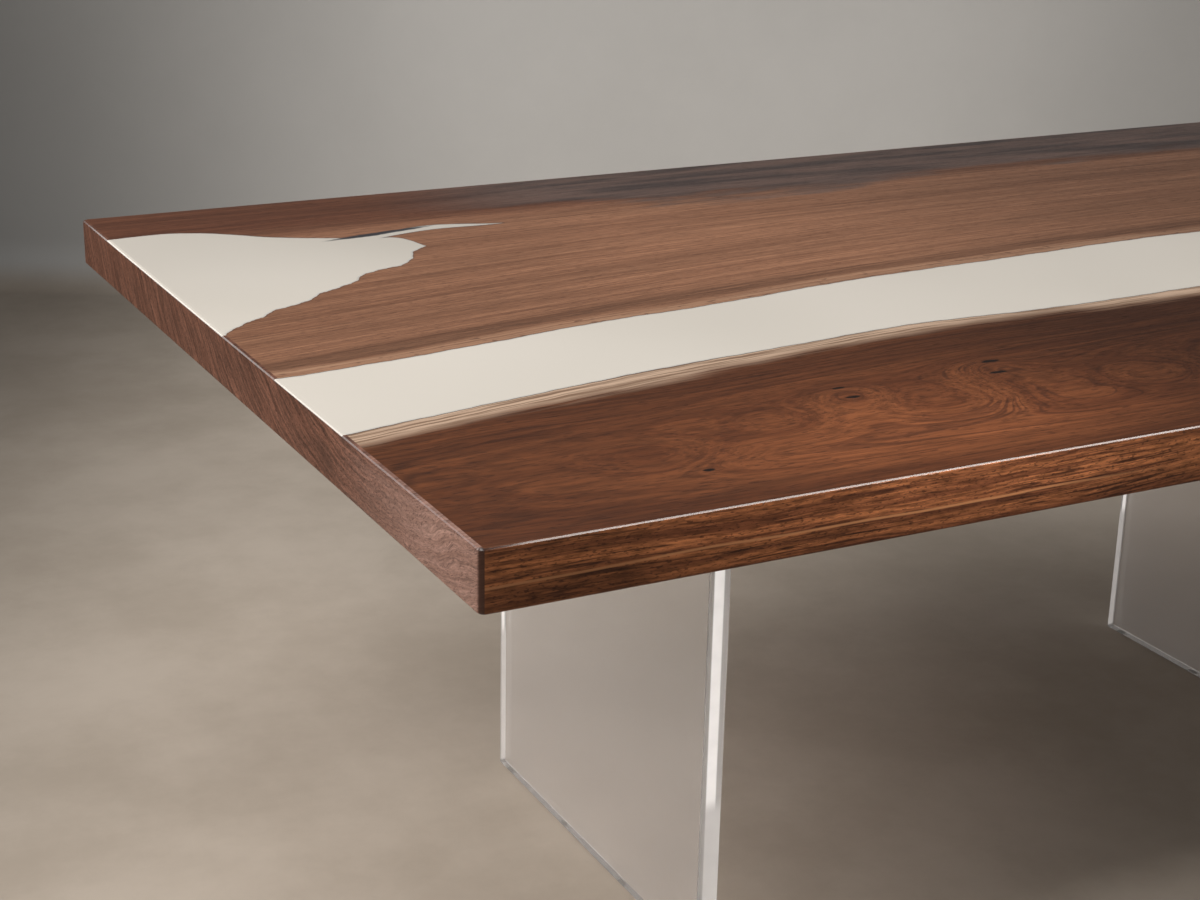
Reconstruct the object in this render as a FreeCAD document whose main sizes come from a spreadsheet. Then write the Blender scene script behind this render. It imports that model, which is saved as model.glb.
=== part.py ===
import FreeCAD, Part
import math
import os

import Sketcher

# Live edge dining table: two walnut slabs, ivory resin river and pool, clear panel legs.
# Millimetres, +Z up, +X along the length, origin on the floor under the middle of the top.

os.makedirs("parts", exist_ok=True)
doc = FreeCAD.newDocument("LiveEdgeTable")
Vector = FreeCAD.Vector

SIZES = {
    # top
    "top_length": 2020,
    "top_width": 1300,
    "top_thickness": 60,
    "table_height": 740,
    "corner_radius": 8,
    "arris_radius": 3.5,
    "band_thickness": 5,
    "front_edge_lean": 16,
    "rear_edge_lean": 22,
    "pool_lean": 12,
    # legs
    "leg_overhang": 448,
    "leg_thickness": 28,
    "leg_width": 550,
    "leg_chamfer": 1.2,
    "glide_diameter": 18,
    "glide_height": 2,
    "glide_chamfer": 0.5,
    # leg plates
    "plate_thickness": 8,
    "plate_width": 110,
    "plate_setback": 24,
    "plate_corner": 8,
    "plate_bolt_edge": 17,
    # stiffening channels
    "channel_end_margin": 250,
    "channel_edge_margin": 105,
    "channel_width": 50,
    "channel_height": 22,
    "channel_wall": 4,
    "slot_play": 5,
    # fasteners
    "bolt_diameter": 8,
    "bolt_engagement": 17,
    "sunk_head_diameter": 15,
    "sunk_head_rim": 0.6,
    "button_head_diameter": 14,
    "button_head_height": 4.4,
    "button_rim_height": 1.1,
    "button_crown_diameter": 8.4,
    "socket_size": 5,
    "socket_depth": 2.6,
    "washer_diameter": 20,
    "washer_thickness": 1.6,
    "insert_wall": 2.2,
    "insert_length": 21,
    "insert_chamfer": 0.8,
    "screw_depth": 34,
    "tip_room": 4,
    # fits
    "recess_clearance": 0.4,
    "hole_clearance": 0.3,
    "thread_clearance": 0.06,
    "hole_overlap": 2,
    "cut_overrun": 40,
}
COUNTERSINK_ANGLE = 90
LEVEL_SHARE = 1e-6

# Natural edges as shares of the length from the left end and of the width from the front.
RIVER_FRONT_SHARES = (
    (-0.02, 0.238), (0.057, 0.261), (0.1235, 0.2795), (0.20, 0.298), (0.287, 0.3115), (0.3695, 0.323),
    (0.4225, 0.319), (0.48, 0.317), (0.573, 0.322), (0.686, 0.3295), (0.8055, 0.344), (0.915, 0.353),
    (1.02, 0.3565),
)
RIVER_REAR_SHARES = (
    (-0.02, 0.393), (0.0965, 0.4115), (0.1505, 0.4255), (0.2045, 0.4395), (0.2585, 0.4465),
    (0.378, 0.472), (0.503, 0.485), (0.644, 0.498), (0.749, 0.4955), (0.846, 0.5015), (0.938, 0.5115),
    (1.02, 0.5145),
)
POOL_REAR_SHARES = (
    (-0.022, 0.902), (0.0195, 0.904), (0.0435, 0.903), (0.0675, 0.8875), (0.0945, 0.8545),
    (0.124, 0.8295), (0.1435, 0.818), (0.182, 0.83), (0.21, 0.8375), (0.236, 0.8255), (0.2555, 0.818),
)
CRACK_FRONT_SHARES = (
    (0.2555, 0.818), (0.235, 0.8175), (0.2105, 0.82), (0.1775, 0.8115), (0.163, 0.8045),
)
POOL_NOSE_SHARES = ((0.163, 0.8045), (0.174, 0.7985), (0.1785, 0.7815), (0.182, 0.7555))
POOL_FRONT_SHARES = (
    (0.182, 0.7555), (0.168, 0.7355), (0.161, 0.713), (0.147, 0.694), (0.118, 0.672), (0.109, 0.6565),
    (0.0905, 0.6345), (0.0765, 0.621), (0.064, 0.603), (0.0435, 0.5865), (0.031, 0.5705),
    (0.022, 0.5605), (0.0115, 0.545), (-0.02, 0.4995),
)

# Places along a plate, a channel or a leg, as shares of its length from its middle.
LEG_SCREW_SHARES = (-0.44, -0.22, 0, 0.22, 0.44)
PLATE_BOLT_SHARES = (-0.40, 0.20, 0.46)
CHANNEL_BOLT_SHARES = (-0.45, -0.29, 0.13, 0.45)
GLIDE_SHARES = (-0.45, -0.15, 0.15, 0.45)

sheet = doc.addObject("Spreadsheet::Sheet", "Sizes")
for row, (alias, number) in enumerate(SIZES.items(), start=1):
    sheet.set(f"A{row}", alias)
    sheet.set(f"B{row}", str(number))
    sheet.setAlias(f"B{row}", alias)
doc.recompute()


def value(formula):
    """Number that a formula of sheet sizes gives now."""
    result = sheet.evalExpression(formula)
    return float(getattr(result, "Value", result))


# Formulas used by more than one piece.
UNDERSIDE = "(Sizes.table_height - Sizes.top_thickness)"
LEG_HEIGHT = f"({UNDERSIDE} - Sizes.glide_height)"
LEG_MIDDLE = "(Sizes.top_length / 2 - Sizes.leg_overhang - Sizes.leg_thickness / 2)"
PLATE_LENGTH = "(Sizes.leg_width - 2 * Sizes.plate_setback)"
CHANNEL_LENGTH = "(Sizes.top_width - 2 * Sizes.channel_edge_margin)"
CHANNEL_PLACE = "(Sizes.top_length / 2 - Sizes.channel_end_margin)"
BOLT_RADIUS = "(Sizes.bolt_diameter / 2)"
BOLT_HOLE_RADIUS = f"({BOLT_RADIUS} + Sizes.hole_clearance)"
INSERT_RADIUS = f"({BOLT_RADIUS} + Sizes.insert_wall)"
INSERT_HOLE_RADIUS = f"({INSERT_RADIUS} + Sizes.thread_clearance)"
SUNK_RADIUS = "(Sizes.sunk_head_diameter / 2)"
SUNK_DEPTH = f"(Sizes.sunk_head_rim + {SUNK_RADIUS} - {BOLT_RADIUS})"
SINK_RADIUS = f"({SUNK_RADIUS} + Sizes.sunk_head_rim + Sizes.hole_clearance)"
PLATE_BOLT_OFFSET = "(Sizes.plate_width / 2 - Sizes.plate_bolt_edge)"


def new_body(name):
    return doc.addObject("PartDesign::Body", name)


def new_sketch(body, name, role, height=None):
    """Empty sketch on an origin plane of the body, raised by a formula when one is given."""
    sketch = body.newObject("Sketcher::SketchObject", name)
    plane = next(item for item in body.Origin.OriginFeatures if item.Role == role)
    sketch.AttachmentSupport = [(plane, "")]
    sketch.MapMode = "FlatFace"
    if height:
        sketch.setExpression("AttachmentOffset.Base.z", height)
    return sketch


def bind(sketch, kind, formula, *elements):
    """Dimension a sketch and tie the dimension to a formula."""
    index = sketch.addConstraint(Sketcher.Constraint(kind, *elements, value(formula)))
    sketch.setExpression(f"Constraints[{index}]", formula)


def place_point(sketch, geometry, end, across, upward):
    """Hold one point of a sketch at two formulas measured from the sketch origin."""
    for kind, formula, axis in (("DistanceX", across, -2), ("DistanceY", upward, -1)):
        if formula == "0":
            sketch.addConstraint(Sketcher.Constraint("PointOnObject", geometry, end, axis))
        else:
            bind(sketch, kind, formula, -1, 1, geometry, end)


def draw_outline(sketch, corners):
    """Closed outline of straight lines through corners given as pairs of formulas."""
    points = [Vector(value(across), value(upward), 0) for across, upward in corners]
    count = len(points)
    for number in range(count):
        sketch.addGeometry(Part.LineSegment(points[number], points[(number + 1) % count]), False)
    for number in range(count):
        sketch.addConstraint(Sketcher.Constraint("Coincident", number, 2, (number + 1) % count, 1))
    for number, (across, upward) in enumerate(corners):
        place_point(sketch, number, 1, across, upward)


def draw_circles(sketch, centres, radius):
    for across, upward in centres:
        middle = Vector(value(across), value(upward), 0)
        circle = sketch.addGeometry(Part.Circle(middle, Vector(0, 0, 1), value(radius)), False)
        bind(sketch, "Radius", radius, circle)
        place_point(sketch, circle, 3, across, upward)


def rectangle(width, depth):
    """Corners of a rectangle centred on the sketch origin."""
    right, top = f"({width}) / 2", f"({depth}) / 2"
    left, bottom = f"-({width}) / 2", f"-({depth}) / 2"
    return ((left, bottom), (right, bottom), (right, top), (left, top))


def pad(body, sketch, length, symmetric=False):
    feature = body.newObject("PartDesign::Pad", "Pad")
    feature.Profile = sketch
    feature.setExpression("Length", length)
    if symmetric:
        feature.SideType = "Symmetric"
    doc.recompute()
    return feature


def pocket(body, sketch, depth, upward=False):
    """Cut a sketch into the body, down from its plane unless told upward."""
    before = body.Shape.Volume
    feature = body.newObject("PartDesign::Pocket", "Pocket")
    feature.Profile = sketch
    feature.setExpression("Length", depth)
    feature.Reversed = upward
    doc.recompute()
    if body.Shape.Volume >= before:
        raise RuntimeError(f"{body.Name}: pocket removed nothing")
    return feature


def revolve(body, corners):
    """Solid turned about Z from a half profile of radius and height formulas."""
    sketch = new_sketch(body, f"{body.Name}_profile", "XZ_Plane")
    draw_outline(sketch, corners)
    feature = body.newObject("PartDesign::Revolution", "Revolution")
    feature.Profile = sketch
    feature.ReferenceAxis = (sketch, ["V_Axis"])
    doc.recompute()
    return feature


def dress_edges(body, kind, size, chosen):
    """Round or chamfer the edges of the body's tip that a test picks out."""
    base = body.Tip
    names = [f"Edge{number}" for number, edge in enumerate(base.Shape.Edges, start=1) if chosen(edge)]
    feature = body.newObject(f"PartDesign::{kind}", kind)
    feature.Base = (base, names)
    feature.setExpression("Radius" if kind == "Fillet" else "Size", size)
    doc.recompute()
    return feature


def is_upright(edge):
    """True for an edge that runs along Z."""
    box = edge.BoundBox
    return box.ZLength > max(box.XLength, box.YLength)


def is_level(edge):
    """True for an edge that lies in one horizontal plane."""
    box = edge.BoundBox
    return box.ZLength < box.DiagonalLength * LEVEL_SHARE


def sink_holes(body, name, centres, radius, height, upward):
    """Countersunk through holes that take the flat-head screws flush."""
    sketch = new_sketch(body, name, "XY_Plane", height)
    draw_circles(sketch, centres, radius)
    doc.recompute()
    before = body.Shape.Volume
    feature = body.newObject("PartDesign::Hole", "Hole")
    feature.Profile = sketch
    doc.recompute()
    feature.ThreadType = "None"
    feature.DepthType = "ThroughAll"
    feature.Reversed = upward
    feature.HoleCutType = "Countersink"
    feature.HoleCutCustomValues = True
    feature.setExpression("Diameter", f"2 * {radius}")
    feature.setExpression("HoleCutDiameter", f"2 * {SINK_RADIUS}")
    feature.HoleCutCountersinkAngle = COUNTERSINK_ANGLE
    doc.recompute()
    if body.Shape.Volume >= before:
        raise RuntimeError(f"{body.Name}: holes removed nothing")


def cut_socket(body, height, upward):
    """Hexagon socket cut into a screw head from the given height."""
    half_width, reach = "Sizes.socket_size / 2", "Sizes.socket_size / sqrt(3)"
    sketch = new_sketch(body, f"{body.Name}_socket", "XY_Plane", height)
    draw_outline(sketch, (
        (reach, "0"), (f"{reach} / 2", half_width), (f"-{reach} / 2", half_width),
        (f"-{reach}", "0"), (f"-{reach} / 2", f"-{half_width}"), (f"{reach} / 2", f"-{half_width}"),
    ))
    pocket(body, sketch, "Sizes.socket_depth", upward)


def placed_group(name, master, stations):
    """One piece made of copies of a master solid, one at each station."""
    copies = [master.Shape.translated(Vector(*station)) for station in stations]
    group = doc.addObject("Part::Feature", name)
    group.Shape = Part.makeCompound(copies)
    return group


def boolean(kind, name, base, tool):
    feature = doc.addObject(f"Part::{kind}", name)
    feature.Base = base
    feature.Tool = tool
    doc.recompute()
    return feature


def fuse(name, shapes):
    feature = doc.addObject("Part::MultiFuse", name)
    feature.Shapes = shapes
    doc.recompute()
    return feature


# Outer form of the finished top.
top_blank = new_body("top_blank")
blank_sketch = new_sketch(top_blank, "top_outline", "XY_Plane")
draw_outline(blank_sketch, rectangle("Sizes.top_length", "Sizes.top_width"))
pad(top_blank, blank_sketch, "Sizes.top_thickness")
dress_edges(top_blank, "Fillet", "Sizes.corner_radius", is_upright)
dress_edges(top_blank, "Fillet", "Sizes.arris_radius", is_level)
top_blank.setExpression("Placement.Base.z", UNDERSIDE)
doc.recompute()

length, width = value("Sizes.top_length"), value("Sizes.top_width")
overrun = value("Sizes.cut_overrun")
underside, table_height = value(UNDERSIDE), value("Sizes.table_height")


def edge_points(shares):
    """Points of a natural edge on the top surface."""
    return [
        Vector(along * length - length / 2, across * width - width / 2, table_height)
        for along, across in shares
    ]


def smooth_edge(shares):
    curve = Part.BSplineCurve()
    curve.interpolate(edge_points(shares))
    return curve.toShape()


def straight_edges(*points):
    return [Part.makeLine(first, second) for first, second in zip(points, points[1:])]


def leaning_form(name, edges, lean):
    """Solid below a closed outline on the top surface, moved by the lean at the underside."""
    form = doc.addObject("Part::Feature", name)
    outline = Part.Face(Part.Wire(Part.sortEdges(edges)[0]))
    depth = table_height - underside
    reach = (depth + 2 * overrun) / depth
    outline.translate(-lean * (overrun / depth) + Vector(0, 0, overrun))
    form.Shape = outline.extrude(lean * reach - Vector(0, 0, depth * reach))
    return form


def slab_form(name, shares, side, lean):
    """Everything from one natural edge of the river out past that side of the top."""
    points = edge_points(shares)
    outside = side * (width / 2 + 2 * overrun)
    corners = [Vector(point.x, outside, table_height) for point in (points[-1], points[0])]
    edges = [smooth_edge(shares)] + straight_edges(points[-1], *corners, points[0])
    return leaning_form(name, edges, Vector(0, side * value(lean), 0))


front_form = slab_form("front_form", RIVER_FRONT_SHARES, -1, "Sizes.front_edge_lean")
rear_form = slab_form("rear_form", RIVER_REAR_SHARES, 1, "Sizes.rear_edge_lean")
pool_sides = [
    smooth_edge(shares)
    for shares in (POOL_REAR_SHARES, CRACK_FRONT_SHARES, POOL_NOSE_SHARES, POOL_FRONT_SHARES)
]
pool_closing = straight_edges(edge_points(POOL_FRONT_SHARES)[-1], edge_points(POOL_REAR_SHARES)[0])
pool_lean = Vector(value("Sizes.pool_lean"), -value("Sizes.pool_lean"), 0)
pool_form = leaning_form("pool_form", pool_sides + pool_closing, pool_lean)


def cross_box(name, start, span):
    """Box over the whole width and thickness of the top, from one place along it for a span."""
    box = doc.addObject("Part::Box", name)
    box.setExpression("Length", span)
    box.setExpression("Width", "Sizes.top_width + 2 * Sizes.cut_overrun")
    box.setExpression("Height", "Sizes.top_thickness + 2 * Sizes.cut_overrun")
    box.setExpression("Placement.Base.x", start)
    box.setExpression("Placement.Base.y", "-Sizes.top_width / 2 - Sizes.cut_overrun")
    box.setExpression("Placement.Base.z", f"{UNDERSIDE} - Sizes.cut_overrun")
    doc.recompute()
    return box


def channel_body(name, gap, drop):
    """Channel section with its web down; gap widens it and drop lowers the web for cutting."""
    body = new_body(name)
    half, wall = f"(Sizes.channel_width / 2 + {gap})", f"(Sizes.channel_wall + 2 * {gap})"
    top, web = f"(Sizes.channel_height + {gap})", f"(Sizes.channel_wall + {gap})"
    inner = f"({half} - {wall})"
    sketch = new_sketch(body, f"{name}_section", "XZ_Plane")
    draw_outline(sketch, (
        (f"-{half}", drop), (half, drop), (half, top), (inner, top),
        (inner, web), (f"-{inner}", web), (f"-{inner}", top), (f"-{half}", top),
    ))
    pad(body, sketch, f"{CHANNEL_LENGTH} + 2 * {gap}", symmetric=True)
    return body


def draw_slot(sketch, upward):
    """Slot along Y in the channel web, centred on a bolt place."""
    radius, reach = BOLT_HOLE_RADIUS, "Sizes.slot_play"
    centre, size, shift = value(upward), value(radius), value(reach)
    high = Part.Circle(Vector(0, centre + shift, 0), Vector(0, 0, 1), size)
    low = Part.Circle(Vector(0, centre - shift, 0), Vector(0, 0, 1), size)
    head = sketch.addGeometry(Part.ArcOfCircle(high, 0, math.pi), False)
    foot = sketch.addGeometry(Part.ArcOfCircle(low, math.pi, 2 * math.pi), False)
    left = sketch.addGeometry(Part.LineSegment(
        Vector(-size, centre + shift, 0), Vector(-size, centre - shift, 0)), False)
    right = sketch.addGeometry(Part.LineSegment(
        Vector(size, centre - shift, 0), Vector(size, centre + shift, 0)), False)
    for first, first_end, second, second_end in (
            (head, 2, left, 1), (left, 2, foot, 1), (foot, 2, right, 1), (right, 2, head, 1)):
        sketch.addConstraint(Sketcher.Constraint("Tangent", first, first_end, second, second_end))
    bind(sketch, "Radius", radius, head)
    place_point(sketch, head, 3, "0", f"{upward} + {reach}")
    place_point(sketch, foot, 3, "0", f"{upward} - {reach}")


def plate_body(name, gap, drop):
    """Rounded plate lying on its body plane; gap widens it and drop lowers its underside."""
    body = new_body(name)
    sketch = new_sketch(body, f"{name}_outline", "XY_Plane", drop)
    draw_outline(sketch, rectangle(f"Sizes.plate_width + 2 * {gap}", f"{PLATE_LENGTH} + 2 * {gap}"))
    pad(body, sketch, f"Sizes.plate_thickness - ({drop})")
    dress_edges(body, "Fillet", f"Sizes.plate_corner + {gap}", is_upright)
    return body


# Fastener masters, each on the Z axis with its seat at height zero.
plate_bolt = new_body("plate_bolt")
revolve(plate_bolt, (
    ("0", "0"), (SUNK_RADIUS, "0"), (SUNK_RADIUS, "Sizes.sunk_head_rim"), (BOLT_RADIUS, SUNK_DEPTH),
    (BOLT_RADIUS, "Sizes.plate_thickness + Sizes.bolt_engagement"),
    ("0", "Sizes.plate_thickness + Sizes.bolt_engagement"),
))
cut_socket(plate_bolt, None, True)

leg_screw = new_body("leg_screw")
revolve(leg_screw, (
    ("0", "0"), (SUNK_RADIUS, "0"), (SUNK_RADIUS, "-Sizes.sunk_head_rim"),
    (BOLT_RADIUS, f"-{SUNK_DEPTH}"), (BOLT_RADIUS, "-Sizes.screw_depth"), ("0", "-Sizes.screw_depth"),
))
cut_socket(leg_screw, None, False)

channel_bolt = new_body("channel_bolt")
revolve(channel_bolt, (
    ("0", "-Sizes.washer_thickness - Sizes.button_head_height"),
    ("Sizes.button_crown_diameter / 2", "-Sizes.washer_thickness - Sizes.button_head_height"),
    ("Sizes.button_head_diameter / 2", "-Sizes.washer_thickness - Sizes.button_rim_height"),
    ("Sizes.button_head_diameter / 2", "-Sizes.washer_thickness"),
    (BOLT_RADIUS, "-Sizes.washer_thickness"),
    (BOLT_RADIUS, "Sizes.channel_wall + Sizes.bolt_engagement"),
    ("0", "Sizes.channel_wall + Sizes.bolt_engagement"),
))
cut_socket(channel_bolt, "-Sizes.washer_thickness - Sizes.button_head_height", True)

channel_washer = new_body("channel_washer")
revolve(channel_washer, (
    (BOLT_HOLE_RADIUS, "-Sizes.washer_thickness"),
    ("Sizes.washer_diameter / 2", "-Sizes.washer_thickness"),
    ("Sizes.washer_diameter / 2", "0"), (BOLT_HOLE_RADIUS, "0"),
))


def insert_body(name, end):
    """Threaded bush from its seat to the end height, chamfered there."""
    body = new_body(name)
    step = "Sizes.insert_chamfer" if value(end) > 0 else "-Sizes.insert_chamfer"
    bore = f"({BOLT_RADIUS} + Sizes.thread_clearance)"
    revolve(body, (
        (bore, "0"), (INSERT_RADIUS, "0"), (INSERT_RADIUS, f"{end} - {step}"),
        (f"{INSERT_RADIUS} - Sizes.insert_chamfer", end), (bore, end),
    ))
    return body


slab_insert = insert_body("slab_insert", "Sizes.insert_length")
leg_insert = insert_body("leg_insert", "-Sizes.insert_length")

insert_hole = new_body("insert_hole")
revolve(insert_hole, (
    ("0", "-Sizes.hole_overlap"), (INSERT_HOLE_RADIUS, "-Sizes.hole_overlap"),
    (INSERT_HOLE_RADIUS, "Sizes.insert_length + Sizes.tip_room"),
    ("0", "Sizes.insert_length + Sizes.tip_room"),
))

glide = new_body("glide")
revolve(glide, (
    ("0", "0"), ("Sizes.glide_diameter / 2 - Sizes.glide_chamfer", "0"),
    ("Sizes.glide_diameter / 2", "Sizes.glide_chamfer"),
    ("Sizes.glide_diameter / 2", "Sizes.glide_height"), ("0", "Sizes.glide_height"),
))

SIDES = (("left", "-"), ("right", ""))
CHANNELS = (("left", f"-{CHANNEL_PLACE}"), ("middle", "0"), ("right", CHANNEL_PLACE))
leg_screw_places = [f"{share} * {PLATE_LENGTH}" for share in LEG_SCREW_SHARES]
plate_bolt_places = [
    (f"{row}{PLATE_BOLT_OFFSET}", f"{share} * {PLATE_LENGTH}")
    for share in PLATE_BOLT_SHARES for row in ("-", "")
]
channel_bolt_places = [f"{share} * {CHANNEL_LENGTH}" for share in CHANNEL_BOLT_SHARES]
pieces = []
cutters = []


def stand(piece, x_formula, z_formula):
    """Put a finished body at its place along the table and at its height."""
    piece.setExpression("Placement.Base.x", x_formula)
    piece.setExpression("Placement.Base.z", z_formula)
    return piece


# Legs with their plates, screws, inserts, bolts and glides.
for side, sign in SIDES:
    middle = f"{sign}{LEG_MIDDLE}"
    x_place = value(middle)

    panel = new_body(f"{side}_leg_panel")
    panel_sketch = new_sketch(panel, f"{side}_leg_outline", "XY_Plane")
    draw_outline(panel_sketch, rectangle("Sizes.leg_thickness", "Sizes.leg_width"))
    pad(panel, panel_sketch, LEG_HEIGHT)
    dress_edges(panel, "Chamfer", "Sizes.leg_chamfer", lambda edge: True)
    socket_sketch = new_sketch(panel, f"{side}_leg_sockets", "XY_Plane", LEG_HEIGHT)
    draw_circles(socket_sketch, [("0", place) for place in leg_screw_places], INSERT_HOLE_RADIUS)
    pocket(panel, socket_sketch, "Sizes.screw_depth")
    pieces.append(stand(panel, middle, "Sizes.glide_height"))

    plate = plate_body(f"{side}_leg_plate", "0", "0")
    sink_holes(plate, f"{side}_plate_bolt_holes", plate_bolt_places, BOLT_HOLE_RADIUS, None, True)
    sink_holes(plate, f"{side}_plate_screw_holes", [("0", place) for place in leg_screw_places],
               BOLT_HOLE_RADIUS, "Sizes.plate_thickness", False)
    pieces.append(stand(plate, middle, UNDERSIDE))
    recess = plate_body(f"{side}_plate_recess", "Sizes.recess_clearance", "-Sizes.cut_overrun")
    cutters.append(stand(recess, middle, UNDERSIDE))

    plate_top = underside + value("Sizes.plate_thickness")
    screw_spots = [(x_place, value(place)) for place in leg_screw_places]
    bolt_spots = [(x_place + value(across), value(along)) for across, along in plate_bolt_places]
    glide_spots = [(x_place, share * value("Sizes.leg_width")) for share in GLIDE_SHARES]
    for name, master, spots, height in (
            ("leg_screws", leg_screw, screw_spots, plate_top),
            ("leg_inserts", leg_insert, screw_spots, underside),
            ("plate_bolts", plate_bolt, bolt_spots, underside),
            ("plate_inserts", slab_insert, bolt_spots, plate_top),
            ("leg_glides", glide, glide_spots, 0)):
        pieces.append(placed_group(f"{side}_{name}", master, [spot + (height,) for spot in spots]))
    cutters.append(placed_group(
        f"{side}_plate_insert_holes", insert_hole, [spot + (plate_top,) for spot in bolt_spots]))

# Stiffening channels with their bolts, washers and inserts.
for side, middle in CHANNELS:
    channel = channel_body(f"{side}_channel", "0", "0")
    slot_sketch = new_sketch(channel, f"{side}_channel_slots", "XY_Plane")
    for place in channel_bolt_places:
        draw_slot(slot_sketch, place)
    pocket(channel, slot_sketch, "Sizes.channel_wall", True)
    pieces.append(stand(channel, middle, UNDERSIDE))
    groove = channel_body(f"{side}_channel_groove", "Sizes.recess_clearance", "-Sizes.cut_overrun")
    cutters.append(stand(groove, middle, UNDERSIDE))

    spots = [(value(middle), value(place)) for place in channel_bolt_places]
    web_top = underside + value("Sizes.channel_wall + Sizes.recess_clearance")
    for name, master, height in (
            ("channel_bolts", channel_bolt, underside),
            ("channel_washers", channel_washer, underside),
            ("channel_inserts", slab_insert, web_top)):
        pieces.append(placed_group(f"{side}_{name}", master, [spot + (height,) for spot in spots]))
    cutters.append(placed_group(
        f"{side}_channel_insert_holes", insert_hole, [spot + (web_top,) for spot in spots]))
doc.recompute()

# Top pieces: each is its share of the blank, less the recesses and holes of the underside.
underside_cuts = fuse("underside_cuts", cutters)
core_box = cross_box(
    "core_box", "Sizes.band_thickness - Sizes.top_length / 2",
    "Sizes.top_length - 2 * Sizes.band_thickness")
core = boolean("Common", "core", top_blank, core_box)
rear_part = boolean("Common", "rear_part", core, rear_form)
river_and_rear = boolean("Cut", "river_and_rear", core, front_form)
uncut_pieces = {
    "front_slab": boolean("Common", "front_part", core, front_form),
    "rear_slab": boolean("Cut", "rear_without_pool", rear_part, pool_form),
    "river_resin": boolean("Cut", "river_part", river_and_rear, rear_form),
    "pool_resin": boolean("Common", "pool_part", core, pool_form),
}
for name, uncut in uncut_pieces.items():
    pieces.append(boolean("Cut", name, uncut, underside_cuts))

for side, start in (
        ("left", "-Sizes.top_length / 2 - Sizes.cut_overrun"),
        ("right", "Sizes.top_length / 2 - Sizes.band_thickness")):
    band_box = cross_box(f"{side}_band_box", start, "Sizes.band_thickness + Sizes.cut_overrun")
    pieces.append(boolean("Common", f"{side}_end_band", top_blank, band_box))

doc.recompute()
for item in doc.Objects:
    if any(state in ("Invalid", "Error") for state in item.State):
        raise RuntimeError(f"{item.Name}: {item.State}")
for piece in pieces:
    piece.Label = piece.Name
    if piece.Shape.isNull() or not piece.Shape.isValid():
        raise RuntimeError(f"{piece.Label}: no valid shape")
    piece.Shape.exportStep(f"parts/{piece.Label}.step")
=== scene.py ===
import math

import bpy
import numpy as np
from mathutils import Matrix, Vector
from mathutils.geometry import delaunay_2d_cdt


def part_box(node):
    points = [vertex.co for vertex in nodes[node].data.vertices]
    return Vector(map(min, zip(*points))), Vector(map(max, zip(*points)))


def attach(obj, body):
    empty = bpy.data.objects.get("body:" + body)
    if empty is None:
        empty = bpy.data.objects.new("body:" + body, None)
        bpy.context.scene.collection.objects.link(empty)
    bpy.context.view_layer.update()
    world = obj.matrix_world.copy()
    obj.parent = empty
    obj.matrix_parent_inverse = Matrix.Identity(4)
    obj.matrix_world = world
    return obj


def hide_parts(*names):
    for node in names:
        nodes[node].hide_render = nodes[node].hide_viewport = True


# Live edge dining table: walnut slabs, ivory resin and clear panel legs, in metres.

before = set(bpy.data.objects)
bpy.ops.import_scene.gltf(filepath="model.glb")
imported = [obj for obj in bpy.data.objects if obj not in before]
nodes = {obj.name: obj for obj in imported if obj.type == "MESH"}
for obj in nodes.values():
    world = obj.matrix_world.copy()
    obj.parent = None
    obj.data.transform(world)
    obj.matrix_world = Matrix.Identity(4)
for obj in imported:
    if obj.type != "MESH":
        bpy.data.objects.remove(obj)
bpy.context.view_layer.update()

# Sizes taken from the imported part.
HALF_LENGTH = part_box("right_end_band")[1].x
HALF_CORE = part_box("right_end_band")[0].x
HALF_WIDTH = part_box("rear_slab")[1].y
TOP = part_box("rear_slab")[1].z
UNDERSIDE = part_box("rear_slab")[0].z
DEPTH = TOP - UNDERSIDE
LEG_MIDDLE = (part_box("right_leg_panel")[0].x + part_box("right_leg_panel")[1].x) / 2

# Sizes that the part's source gives, repeated here.
CORNER_RADIUS = 0.008
ARRIS_RADIUS = 0.0035
LEG_CHAMFER = 0.0012
FRONT_LEAN = np.array((0.0, -0.016))
REAR_LEAN = np.array((0.0, 0.022))
POOL_LEAN = np.array((0.012, -0.012))

# Bevel of the upper edge, with its small rounds, and how far the fixings stand out of the wood below.
BEVEL = 0.0018
BEVEL_ROUND = 0.0010
HARDWARE_PROUD = 0.0003

# Natural edges as shares of the length from the left end and of the width from the front.
RIVER_FRONT_SHARES = (
    (-0.02, 0.238), (0.057, 0.261), (0.1235, 0.2795), (0.20, 0.298), (0.287, 0.3115), (0.3695, 0.323),
    (0.4225, 0.319), (0.48, 0.317), (0.573, 0.322), (0.686, 0.3295), (0.8055, 0.344), (0.915, 0.353),
    (1.02, 0.3565),
)
RIVER_REAR_SHARES = (
    (-0.02, 0.393), (0.0965, 0.4115), (0.1505, 0.4255), (0.2045, 0.4395), (0.2585, 0.4465),
    (0.378, 0.472), (0.503, 0.485), (0.644, 0.498), (0.749, 0.4955), (0.846, 0.5015), (0.938, 0.5115),
    (1.02, 0.5145),
)
POOL_REAR_SHARES = (
    (-0.022, 0.902), (0.0195, 0.904), (0.0435, 0.903), (0.0675, 0.8875), (0.0945, 0.8545),
    (0.124, 0.8295), (0.1435, 0.818), (0.182, 0.83), (0.21, 0.8375), (0.236, 0.8255), (0.2555, 0.818),
)
CRACK_FRONT_SHARES = (
    (0.2555, 0.818), (0.235, 0.8175), (0.2105, 0.82), (0.1775, 0.8115), (0.163, 0.8045),
)
POOL_NOSE_SHARES = ((0.163, 0.8045), (0.174, 0.7985), (0.1785, 0.7815), (0.182, 0.7555))
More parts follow.
